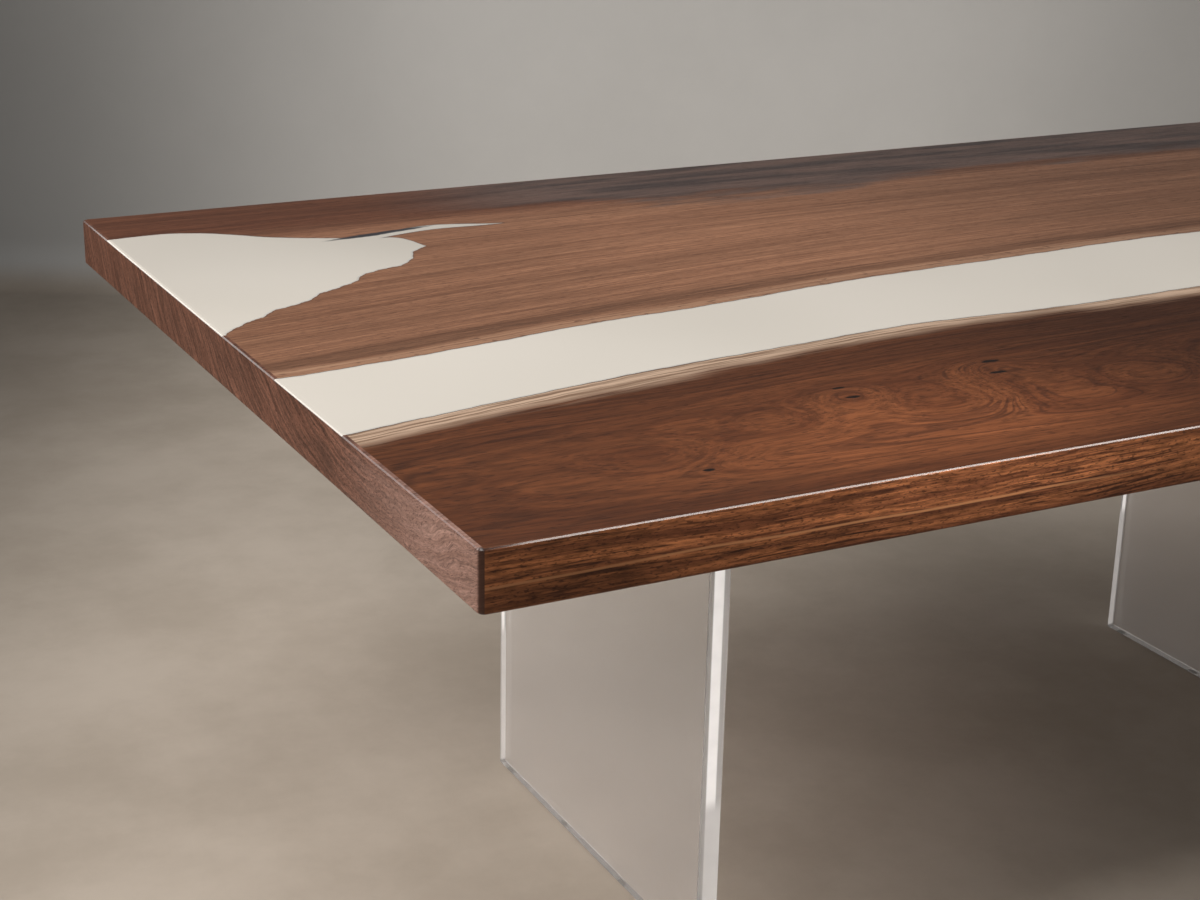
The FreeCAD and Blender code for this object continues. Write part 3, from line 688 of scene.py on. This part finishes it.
def front_walnut():
    """Dark red brown walnut with swirls, small knots, a pale strip of sapwood along the river with a dark
    band behind it, and a front face of dark and orange streaks."""
    finish, tree, shader, place = new_finish("front_walnut", Specular_IOR_Level=0.22, Coat_Roughness=0.08)
    parts = split(tree, place)
    log = use_group(tree, front_log, {"Place": place})
    tones = (0.124, 0.0380, 0.0140, 1), (0.199, 0.0655, 0.0238, 1), (0.052, 0.017, 0.008, 1)
    wood = draw_walnut(tree, log, 3.0, 1.0, tones, 0.62, 0.30)
    gap = value_of(tree, "river_gap")
    ripple = streaks(tree, *parts, (4, 9, 9))
    edge = scaled(tree, ripple, -0.050, gap)
    shaded = times(tree, eased(tree, edge, 0.0, 0.02), eased(tree, edge, 0.12, 0.05))
    colour = tint(tree, wood["Color"], scaled(tree, shaded, -0.13, 1.0))
    # Lighter round a place near the front left and darker towards the right: partly the wood's own tone,
    # partly painted light and painted shade.
    painted_light = scaled(tree, bell(tree, parts, -0.48, -0.53, 0.27, 0.12), 0.90, 0.86)
    colour = tint(tree, colour, maths(tree, "ADD", painted_light, eased(tree, parts[0], -0.46, 0.0, 0.0, -0.37)))
    sap_line = streaks(tree, parts[0], gap, parts[2], (6.0, 260.0, 30.0), 3.0, 0.6)
    border = scaled(tree, maths(tree, "SUBTRACT", sap_line, 0.5), 0.055, edge)
    border = maths(tree, "ADD", border, eased(tree, parts[0], -0.60, -0.10, 0.0, 0.010))
    pale = eased(tree, border, 0.024, -0.003)
    sap = blend(tree, eased(tree, sap_line, 0.38, 0.60), (0.29, 0.178, 0.114, 1), (0.74, 0.530, 0.385, 1))
    colour = blend(tree, pale, colour, sap)
    colour = blend(tree, spots(tree, place, FRONT_KNOTS), colour, (0.012, 0.006, 0.005, 1))
    colour = blend(tree, eased(tree, gap, 0.0020, 0.0008), colour, (0.075, 0.045, 0.032, 1))
    tones = (0.165, 0.057, 0.026, 1), (0.48, 0.178, 0.070, 1), (0.036, 0.014, 0.010, 1)
    face = draw_walnut(tree, log, 2.4, 4.0, tones, 0.85, 0.42)["Color"]
    wave = scaled(tree, streaks(tree, *parts, (3.0, 0.0, 0.0)), 0.010, TOP - 0.041)
    over = maths(tree, "SUBTRACT", parts[2], wave)
    face = tint(tree, face, eased(tree, over, -0.004, 0.002, 0.70, 1.0))
    vein = times(tree, eased(tree, maths(tree, "ABSOLUTE", over), 0.0018, 0.0005),
                 eased(tree, parts[0], -0.20, -0.45, 0.0, 0.8))
    face = blend(tree, vein, face, (0.52, 0.235, 0.105, 1))
    # Along its length the face is lighter towards the middle and darker near the corner and further right:
    # partly the wood's own tone, partly painted light and painted shade.
    face = tint(tree, face, eased(tree, parts[0], -0.86, -0.45, 1.22, 2.25))
    face = tint(tree, face, eased(tree, parts[0], -0.46, -0.25, 1.0, 0.56))
    face = tint(tree, face, eased(tree, parts[0], -0.87, -0.83, 0.72, 1.0))
    front = eased(tree, parts[1], -HALF_WIDTH + 0.0012, -HALF_WIDTH + 0.0002)
    dress_wood(tree, shader, blend(tree, front, colour, face), wood)
    return finish


def rear_walnut():
    """Warm mid brown walnut with long straight streaks, a paler flecked strip at the river with a darker
    band behind it, and a dark grey purple rear margin."""
    finish, tree, shader, place = new_finish("rear_walnut", Specular_IOR_Level=0.3, Coat_Roughness=0.08)
    log = use_group(tree, rear_log, {"Place": place})
    tones = (0.243, 0.110, 0.060, 1), (0.405, 0.198, 0.112, 1), (0.120, 0.052, 0.030, 1)
    wood = draw_walnut(tree, log, 2.2, 1.0, tones, 0.45, 0.22)
    parts = split(tree, place)
    gap = value_of(tree, "river_gap")
    ripple = streaks(tree, *parts, (5, 12, 12))
    edge = scaled(tree, ripple, -0.020, gap)
    shaded = times(tree, eased(tree, edge, 0.012, 0.024), eased(tree, edge, 0.07, 0.03))
    colour = tint(tree, wood["Color"], scaled(tree, shaded, -0.28, 0.94))
    # Lighter round the middle of the slab: partly the wood's own tone, partly painted light.
    colour = tint(tree, colour, scaled(tree, bell(tree, parts, -0.15, 0.2, 0.40, 0.25), 0.30, 1.03))
    pale = eased(tree, edge, 0.020, 0.010)
    pale_line = streaks(tree, parts[0], gap, parts[2], (3.0, 300.0, 30.0), 2.0, 0.6)
    colour = blend(tree, times(tree, pale, eased(tree, pale_line, 0.35, 0.65, 0.1, 0.75)), colour,
                   (0.58, 0.345, 0.22, 1))
    fleck = streaks(tree, *parts, (60, 150, 150), 1.0)
    flecks = times(tree, eased(tree, fleck, 0.62, 0.70), pale)
    colour = blend(tree, times(tree, flecks, 0.7), colour, (0.11, 0.05, 0.03, 1))
    stain = streaks(tree, *parts, (2.6, 8.0, 8.0), 3.0, 0.55)
    wisp = streaks(tree, parts[0], log["Rings"], parts[2], (3.4, 34.0, 8.0), 5.0, 0.65)
    rear = scaled(tree, maths(tree, "SUBTRACT", stain, 0.5), 0.30, parts[1])
    rear = scaled(tree, maths(tree, "SUBTRACT", wisp, 0.5), 0.22, rear)
    rear = scaled(tree, parts[0], 0.035, rear)
    dark = times(tree, eased(tree, rear, 0.44, 0.51), eased(tree, parts[0], -0.66, -0.34))
    # Darker towards the right end: partly the wood's own tone, partly painted shade.
    colour = tint(tree, colour, eased(tree, parts[0], -0.2, 0.6, 1.0, 0.84))
    margin = blend(tree, 1.0, colour, (0.46, 0.355, 0.32, 1), "MULTIPLY")
    colour = blend(tree, eased(tree, parts[1], 0.42, 0.52), colour, margin)
    stained = blend(tree, eased(tree, wisp, 0.36, 0.64), (0.068, 0.054, 0.052, 1), (0.178, 0.118, 0.098, 1))
    stained = tint(tree, stained, eased(tree, wood["Height"], 0.2, 0.7, 0.80, 1.15))
    colour = blend(tree, times(tree, dark, 0.90), colour, stained)
    shore = value_of(tree, "pool_gap")
    rim = times(tree, eased(tree, shore, 0.0024, 0.0008), eased(tree, parts[1], 0.36, 0.41, 0.45, 1.0))
    colour = blend(tree, rim, colour, (0.060, 0.040, 0.032, 1))
    colour = blend(tree, spots(tree, place, CRACK_BARK), colour, (0.045, 0.045, 0.052, 1))
    colour = blend(tree, eased(tree, gap, 0.0020, 0.0008), colour, (0.090, 0.055, 0.040, 1))
    dress_wood(tree, shader, colour, wood)
    return finish


IVORY_DIM, IVORY = (0.845, 0.793, 0.710, 1), (0.870, 0.818, 0.737, 1)


def band_walnut():
    """End grain: arcs about an axis high above the front slab, wavier at the front corner, mauve there,
    more red and darker behind, partly the wood's own tone and partly painted shade. The corners are painted
    dark as shade where the end turns into the front and rear faces, and resin runs over the upper edge
    where it meets the band."""
    finish, tree, shader, place = new_finish("band_walnut", Specular_IOR_Level=0.3, Coat_Roughness=0.08)
    parts = split(tree, place)
    waver = streaks(tree, *parts, (0.0, 13.0, 26.0), 2.0)
    sway = times(tree, waver, eased(tree, parts[1], -0.20, -0.55, 0.012, 0.024))
    side = maths(tree, "ADD", parts[1], 0.42)
    level = maths(tree, "SUBTRACT", parts[2], TOP + 0.55)
    squares = scaled(tree, side, side, times(tree, level, level))
    log = {"Along": parts[0], "Rings": maths(tree, "ADD", maths(tree, "SQRT", squares), sway),
           "Across": scaled(tree, parts[2], 0.7, parts[1])}
    tones = (0.308, 0.170, 0.130, 1), (0.450, 0.270, 0.218, 1), (0.120, 0.058, 0.044, 1)
    wood = draw_walnut(tree, log, 2.6, 1.0, tones, 0.45, 0.30)
    # More red and darker behind the front corner: partly the wood's own tone, partly painted shade.
    behind = eased(tree, parts[1], -0.58, -0.28)
    comb = streaks(tree, parts[0], log["Rings"], log["Across"], (0.0, 230.0, 12.0), 2.0, 0.6)
    redder_painted_shade = blend(tree, 1.0, wood["Color"], (0.465, 0.345, 0.275, 1), "MULTIPLY")
    redder_painted_shade = tint(tree, redder_painted_shade, eased(tree, comb, 0.38, 0.62, 0.68, 1.30))
    colour = blend(tree, behind, wood["Color"], redder_painted_shade)
    # Painted shade: the rounded corners go dark where the end face turns into the front and rear faces.
    corner = maths(tree, "ABSOLUTE", parts[1])
    corner = eased(tree, corner, HALF_WIDTH - 0.0062, HALF_WIDTH - 0.0032)
    colour = blend(tree, times(tree, corner, 0.95), colour, (0.050, 0.019, 0.011, 1))
    edge = blend(tree, 1.0, colour, (0.62, 0.46, 0.39, 1), "MULTIPLY")
    colour = blend(tree, value_of(tree, "arris"), colour, edge)
    resin = None
    spans = ((-1, river_front[0, 1], river_rear[0, 1]), (-1, shore_top[-1, 1], shore_top[0, 1]),
             (1, river_front[-1, 1], river_rear[-1, 1]))
    for end, low, high in spans:
        span = maths(tree, "COMPARE", parts[1], float(low + high) / 2, float(high - low) / 2)
        span = times(tree, span, maths(tree, "GREATER_THAN", times(tree, parts[0], end), 0.0))
        resin = span if resin is None else maths(tree, "MAXIMUM", resin, span)
    resin = times(tree, resin, eased(tree, parts[2], TOP - 0.0016, TOP - 0.0008))
    dress_wood(tree, shader, blend(tree, resin, colour, IVORY), wood)
    return finish


def ivory_resin():
    """Opaque ivory resin with faint broad clouds, painted darker towards the rear as shade, and a thin
    shaded rim at its natural edges."""
    finish, tree, shader, place = new_finish("ivory_resin", Specular_IOR_Level=0.35)
    clouds = cloud(tree, place, 2.6, 1.0)
    colour = blend(tree, eased(tree, clouds, 0.3, 0.7), IVORY_DIM, IVORY)
    rearward = split(tree, place)[1]
    # Painted shade: darker towards the rear.
    colour = tint(tree, colour, eased(tree, rearward, 0.0, 0.40, 1.01, 0.85))
    gap = maths(tree, "MINIMUM", value_of(tree, "front_gap"), value_of(tree, "rear_gap"))
    colour = blend(tree, eased(tree, gap, 0.0042, 0.0005, 0.0, 0.6), colour, (0.58, 0.57, 0.55, 1))
    colour = blend(tree, spots(tree, place, CRACK_BARK), colour, (0.060, 0.062, 0.072, 1))
    feed(shader, "Base Color", colour)
    feed(shader, "Roughness", eased(tree, clouds, 0.3, 0.7, 0.34, 0.42))
    return finish


def let_lamps_through(finish, tree, shader):
    """Straight shadow rays through a clear sheet, so that it casts only a faint shadow."""
    shadow = add(tree, "ShaderNodeLightPath", {}).outputs["Is Shadow Ray"]
    through = add(tree, "ShaderNodeBsdfTransparent", {"Color": (0.88, 0.88, 0.88, 1)}).outputs[0]
    mix = add(tree, "ShaderNodeMixShader", {0: shadow, 1: shader.outputs[0], 2: through})
    tree.links.new(mix.outputs[0], tree.nodes["Material Output"].inputs["Surface"])
    return finish


def clear_acrylic():
    """Clear cast acrylic with a faint haze, painted darker towards the floor as shade."""
    finish, tree, shader, place = new_finish("clear_acrylic", IOR=1.49, Transmission_Weight=0.78)
    rise = split(tree, place)[2]
    # Painted shade: the tint darkens towards the floor.
    colour = blend(tree, eased(tree, rise, 0.05, 0.45), (0.93, 0.905, 0.895, 1), (1.0, 0.985, 0.980, 1))
    feed(shader, "Base Color", colour)
    haze = cloud(tree, place, 3.0, 3.0)
    feed(shader, "Roughness", eased(tree, haze, 0.3, 0.7, 0.0, 0.02))
    return let_lamps_through(finish, tree, shader)


def polished_edge():
    """Edge of the clear sheets, brightened by painted light, an emission that stands in for the light the
    sheet carries to it:
    above, along the middle; below, evenly; a line at its outer side and the underside stay dark, the
    underside painted dark as shade."""
    finish, tree, shader, place = new_finish(
        "polished_edge", IOR=1.49, Transmission_Weight=0.5, Emission_Strength=0.55)
    parts = split(tree, place)
    # Painted shade: the underside and lowest few millimetres of the edge are dark.
    painted_shade_foot, clear = (0.16, 0.155, 0.155, 1), (0.95, 0.94, 0.93, 1)
    feed(shader, "Base Color", blend(tree, eased(tree, parts[2], 0.004, 0.008), painted_shade_foot, clear))
    haze = cloud(tree, place, 40.0, 2.0)
    # Painted light: the emission below brightens the edge above along the middle and below evenly.
    across = maths(tree, "SUBTRACT", maths(tree, "ABSOLUTE", parts[0]), LEG_MIDDLE)
    middle = eased(tree, across, -0.0065, -0.0045, 0.12, 1.0)
    upper = eased(tree, parts[2], 0.195, 0.215)
    painted_light = add(tree, "ShaderNodeMix", {0: upper, 2: 0.40, 3: middle}, data_type="FLOAT").outputs[0]
    painted_light = times(tree, painted_light, eased(tree, across, 0.0085, 0.0065, 0.04, 1.0))
    painted_light = times(tree, painted_light, eased(tree, haze, 0.3, 0.7, 0.88, 1.0))
    painted_light = times(tree, painted_light, eased(tree, parts[1], -0.1, 0.1, 1.0, 1.5))
    painted_light = times(tree, painted_light, eased(tree, parts[2], 0.003, 0.006))
    feed(shader, "Emission Color", tint(tree, (1.0, 0.96, 0.93, 1), painted_light))
    feed(shader, "Roughness", eased(tree, haze, 0.3, 0.7, 0.16, 0.26))
    return let_lamps_through(finish, tree, shader)


def brushed_steel():
    """Flat bar brushed along its length."""
    finish, tree, shader, place = new_finish("brushed_plate_steel", Metallic=1.0)
    parts = split(tree, place)
    brush = streaks(tree, *parts, (900, 12, 900), 2.0)
    mottled(tree, shader, brush, (0.46, 0.46, 0.47, 1), (0.62, 0.62, 0.63, 1), 0.28, 0.44)
    link_bump(tree, shader, brush, 0.08, 0.0001)
    return finish


def powder_coat():
    """Black powder coat with a fine pebbled skin."""
    finish, tree, shader, place = new_finish("black_powder_coat")
    pebble = cloud(tree, place, 1400.0, 2.0)
    mottled(tree, shader, pebble, (0.020, 0.020, 0.021, 1), (0.034, 0.034, 0.035, 1), 0.42, 0.60)
    link_bump(tree, shader, pebble, 0.25, 0.0002)
    return finish


def turned_metal(name, dark, light, low, high):
    """Bright fastener metal, slightly clouded by handling."""
    finish, tree, shader, place = new_finish(name, Metallic=1.0)
    mottled(tree, shader, cloud(tree, place, 260.0, 3.0), dark, light, low, high)
    return finish


def soft_pad():
    """Soft translucent looking pad with a matt, faintly mottled skin."""
    finish, tree, shader, place = new_finish("soft_pad")
    mottle = cloud(tree, place, 500.0, 2.0)
    mottled(tree, shader, mottle, (0.58, 0.58, 0.56, 1), (0.68, 0.68, 0.66, 1), 0.5, 0.7)
    return finish


# Finishes and what each piece stands for.

resin = ivory_resin()
end_grain = band_walnut()
for piece, node, slot, finish in (
    (front_wood, "front_slab", "walnut_front", front_walnut()),
    (rear_wood, "rear_slab", "walnut_rear", rear_walnut()),
    (river_casting, "river_resin", "ivory_resin", resin),
    (pool_casting, "pool_resin", "ivory_resin", resin),
    (left_band, "left_end_band", "walnut_band", end_grain),
    (right_band, "right_end_band", "walnut_band", end_grain),
):
    piece.data.materials.append(finish)
    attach(piece, "root")
    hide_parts(node)

sheet_faces, sheet_edges = clear_acrylic(), polished_edge()
for piece, node in ((left_sheet, "left_leg_panel"), (right_sheet, "right_leg_panel")):
    piece.data.materials.append(sheet_faces)
    piece.data.materials.append(sheet_edges)
    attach(piece, "root")
    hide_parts(node)

zinc = turned_metal("bright_zinc", (0.52, 0.53, 0.55, 1), (0.68, 0.69, 0.70, 1), 0.24, 0.40)
brass = turned_metal("turned_brass", (0.62, 0.42, 0.16, 1), (0.78, 0.56, 0.25, 1), 0.22, 0.36)
NODE_FINISHES = (
    ("_leg_plate", brushed_steel()), ("_channel", powder_coat()),
    ("_screws", zinc), ("_bolts", zinc), ("_washers", zinc), ("_inserts", brass), ("_glides", soft_pad()),
)
for name, node in nodes.items():
    for ending, finish in NODE_FINISHES:
        if name.endswith(ending):
            for place in node.material_slots:
                place.material = finish


# Studio: floor with a backdrop, lamps and camera.

CAMERA_PLACE = Vector((-1.65538, -2.08306, 1.37856))
CAMERA_YAW, CAMERA_PITCH, CAMERA_ROLL = 0.48502, 0.33686, 0.02007
CAMERA_LENS = 61.94
BACKDROP_AWAY, BACKDROP_HEIGHT, COVE_RADIUS = 5.15, 1.0, 0.12
FLOOR_BEHIND, FLOOR_HALF_WIDTH = 6.0, 9.0
AHEAD = np.array((math.sin(CAMERA_YAW), math.cos(CAMERA_YAW)))
ASIDE = np.array((AHEAD[1], -AHEAD[0]))


def level_distance(tree, parts, way):
    """Distance along a level direction."""
    return scaled(tree, parts[0], float(way[0]), times(tree, parts[1], float(way[1])))


def studio_paint():
    """Matt paint with a faint mottle, warm on the floor and greyer on the wall. Shade is painted on: the
    floor darker to the left and a painted shadow under the far part of the table, the wall darker to both
    sides. Seen from behind the paint is clear, so that the wall hides nothing."""
    finish, tree, shader, place = new_finish("studio_paint", Roughness=0.85, Specular_IOR_Level=0.2)
    parts = split(tree, place)
    mottle = cloud(tree, place, 2.2, 8.0, 0.66)
    floor = blend(tree, eased(tree, mottle, 0.3, 0.7), (0.57, 0.49, 0.405, 1), (0.71, 0.62, 0.525, 1))
    wall = blend(tree, eased(tree, mottle, 0.3, 0.7), (0.81, 0.805, 0.785, 1), (0.85, 0.845, 0.825, 1))
    sideways, forward = level_distance(tree, parts, ASIDE), level_distance(tree, parts, AHEAD)
    middle, start = (float(way @ np.array(CAMERA_PLACE.xy)) for way in (ASIDE, AHEAD))
    # Painted shade on the floor to the left, a painted shadow under the far part of the table, and painted
    # shade on the wall to both sides.
    floor = tint(tree, floor, eased(tree, sideways, middle - 1.5, middle - 0.35, 0.36, 1.0))
    painted_table_shadow = times(tree, eased(tree, sideways, middle + 0.15, middle + 0.85),
                   eased(tree, forward, start + 4.4, start + 2.6))
    floor = tint(tree, floor, scaled(tree, painted_table_shadow, -0.5, 1.0))
    wall = tint(tree, wall, eased(tree, sideways, middle - 1.7, middle - 0.1, 0.29, 1.0))
    wall = tint(tree, wall, eased(tree, sideways, middle + 0.7, middle + 1.6, 1.0, 0.70))
    colour = blend(tree, eased(tree, parts[2], 0.0, 0.07), floor, wall)
    feed(shader, "Base Color", colour)
    behind = add(tree, "ShaderNodeNewGeometry", {}).outputs["Backfacing"]
    clear = add(tree, "ShaderNodeBsdfTransparent", {}).outputs[0]
    mix = add(tree, "ShaderNodeMixShader", {0: behind, 1: shader.outputs[0], 2: clear})
    tree.links.new(mix.outputs[0], tree.nodes["Material Output"].inputs["Surface"])
    return finish


def studio_sweep():
    """Floor, cove and low wall: a profile of distance and height carried sideways across the view."""
    turn = np.linspace(-np.pi / 2, 0, 13)
    away = BACKDROP_AWAY - COVE_RADIUS * (1 - np.cos(turn))
    cove = np.stack((away, COVE_RADIUS * (1 + np.sin(turn))), axis=1)
    profile = np.vstack(((-FLOOR_BEHIND, 0.0), cove, (BACKDROP_AWAY, BACKDROP_HEIGHT)))
    sideways = np.linspace(-FLOOR_HALF_WIDTH, FLOOR_HALF_WIDTH, 3)
    start = np.array(CAMERA_PLACE.xy)
    plan = start + profile[:, None, :1] * AHEAD + sideways[None, :, None] * ASIDE
    height = np.broadcast_to(profile[:, None, 1:], plan.shape[:2] + (1,))
    vertices = np.concatenate((plan, height), axis=2).reshape(-1, 3)
    first = (np.arange(len(profile) - 1)[:, None] * 3 + np.arange(2)).ravel()
    faces = np.stack((first, first + 1, first + 4, first + 3), axis=1)
    mesh = bpy.data.meshes.new("studio_floor")
    mesh.from_pydata(vertices.tolist(), [], faces.tolist())
    mesh.polygons.foreach_set("use_smooth", np.ones(len(mesh.polygons), dtype=bool))
    mesh.materials.append(studio_paint())
    sweep = set_down("studio_floor", mesh)


WARM = (1.0, 0.965, 0.93)


def lamp(name, place, aim, along, width, depth, power):
    """Soft rectangular lamp at a place: its width lies along a direction and its face is turned as
    near to a point as that allows."""
    long_way = Vector(along).normalized()
    back = Vector(place) - Vector(aim)
    back = (back - back.dot(long_way) * long_way).normalized()
    light = bpy.data.lights.new(name, "AREA")
    light.shape = "RECTANGLE"
    light.size, light.size_y, light.energy, light.color = width, depth, power, WARM
    holder = set_down(name, light)
    holder.matrix_world = Matrix((long_way, back.cross(long_way), back)).transposed().to_4x4()
    holder.location = place


def studio_world():
    """Dim surroundings, brighter overhead than at eye level; a direct view of them is pale."""
    world = bpy.data.worlds.new("soft_studio")
    world.use_nodes = True
    tree = world.node_tree
    rise = split(tree, add(tree, "ShaderNodeTexCoord", {}).outputs["Generated"])[2]
    level = grey(tree, eased(tree, rise, 0.25, 0.7, 0.05, 0.25))
    seen = add(tree, "ShaderNodeLightPath", {}).outputs["Is Camera Ray"]
    colour = blend(tree, seen, level, (0.62, 0.60, 0.57, 1))
    tree.links.new(colour, tree.nodes["Background"].inputs["Color"])
    bpy.context.scene.world = world


def photo_camera():
    """Camera at the measured place, turned by yaw, pitch and roll."""
    flat = math.cos(CAMERA_PITCH)
    ahead = Vector((math.sin(CAMERA_YAW) * flat, math.cos(CAMERA_YAW) * flat, -math.sin(CAMERA_PITCH)))
    level = ahead.cross(Vector((0, 0, 1))).normalized()
    upright = level.cross(ahead)
    right = math.cos(CAMERA_ROLL) * level + math.sin(CAMERA_ROLL) * upright
    up = math.cos(CAMERA_ROLL) * upright - math.sin(CAMERA_ROLL) * level
    data = bpy.data.cameras.new("photo_camera")
    data.sensor_fit, data.sensor_width, data.lens = "HORIZONTAL", 36.0, CAMERA_LENS
    camera = set_down("photo_camera", data)
    camera.matrix_world = Matrix((right, up, -ahead)).transposed().to_4x4()
    camera.location = CAMERA_PLACE
    bpy.context.scene.camera = camera


studio_sweep()
photo_camera()
studio_world()
lamp("edge_softbox", (0.98, -1.265, 2.12), (-0.35, -0.65, 0.74), (2.02, 0.244, -0.536), 2.4, 0.17, 13.2)
lamp("key_softbox", (-2.7, 0.8, 2.1), (-0.4, 0.1, 0.5), (0.3, -1.0, 0.0), 1.3, 1.3, 20.5)
lamp("left_softbox", (-2.3, -1.0, 2.2), (-0.6, -0.1, 0.7), (0.5, -1.0, 0.0), 1.3, 1.3, 21.5)
lamp("overhead_softbox", (-0.7, 0.6, 2.7), (-0.5, 0.3, 0.7), (1.0, 0.0, 0.0), 1.8, 1.2, 11.0)
lamp("low_softbox", (-3.0, 0.2, 0.9), (-0.6, 0.0, 0.35), (0.1, -1.0, 0.0), 1.2, 0.8, 9.0)
lamp("front_softbox", (1.2, -2.6, 1.1), (0.2, -0.65, 0.70), (1.0, 0.3, 0.0), 1.2, 0.8, 6.0)
lamp("rim_softbox", (-1.65, 1.75, 1.45), (-1.01, 0.0, 0.74), (0.55, 0.54, -0.72), 1.1, 0.3, 1.8)
bpy.context.scene.cycles.max_bounces = 24
bpy.context.scene.cycles.glossy_bounces = 16
bpy.context.scene.cycles.transmission_bounces = 24
bpy.context.scene.view_settings.view_transform = "Standard"
